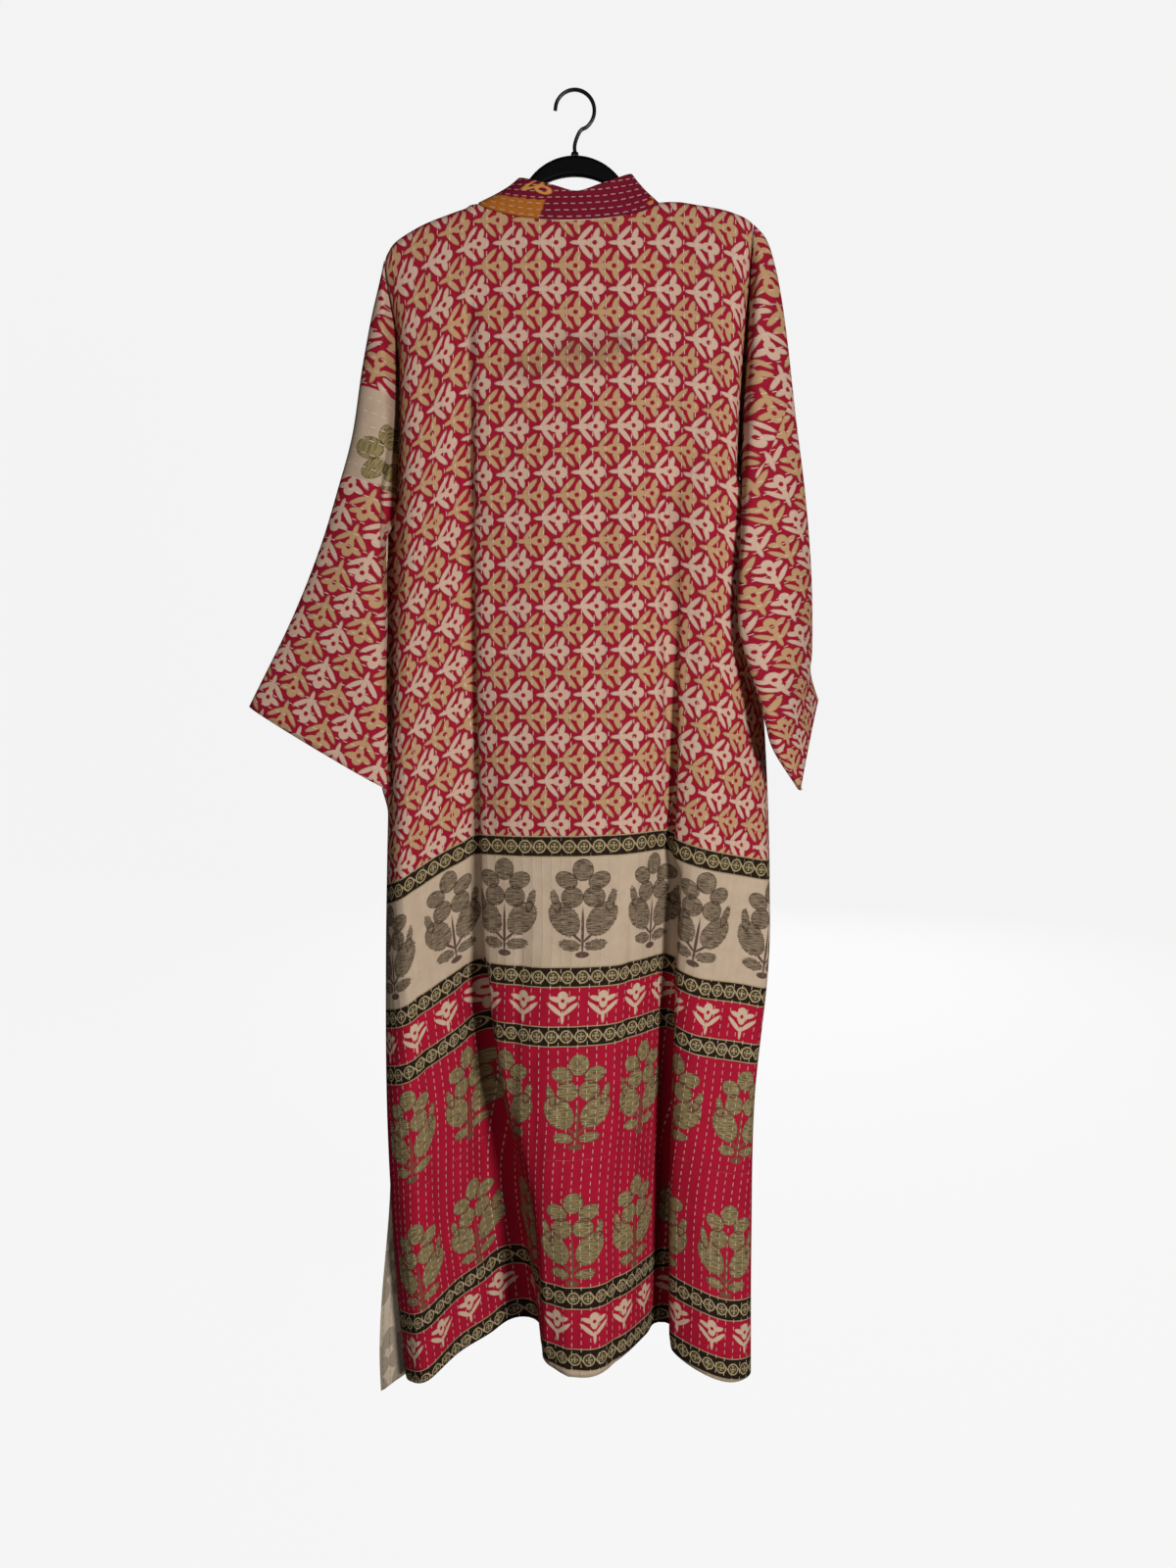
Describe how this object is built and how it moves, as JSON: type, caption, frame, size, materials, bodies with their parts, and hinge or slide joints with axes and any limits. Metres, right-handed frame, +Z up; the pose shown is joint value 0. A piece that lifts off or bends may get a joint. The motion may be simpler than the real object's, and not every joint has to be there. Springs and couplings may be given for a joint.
{
  "type": "long kimono on a hanger",
  "caption": "Long quilted cotton kimono robe with straight sleeves, a neckband and side slits, hanging on a plain black hanger.",
  "frame": {"origin": "inside of the hanger hook's crest, where it sits on a rail", "axes": "+Z up, +Y out of the garment's front, -Y out of its back, the wearer's left sleeve at -X"},
  "size_m": [0.6299, 0.1933, 1.4504],
  "materials": {
    "print_cotton": "printed, quilted with running stitches, matte",
    "band_cotton": "quilted with running stitches, matte",
    "hanger_black": "smooth black, satin",
    "hook_wire": "black wire, satin"
  },
  "bodies": {
    "root": {"back": "print_cotton", "front_left": "print_cotton", "front_right": "print_cotton", "sleeve_left": "print_cotton", "sleeve_right": "print_cotton", "neckband": "band_cotton", "hanger": "hanger_black", "hanger_hook": "hook_wire"}
  },
  "joints": []
}
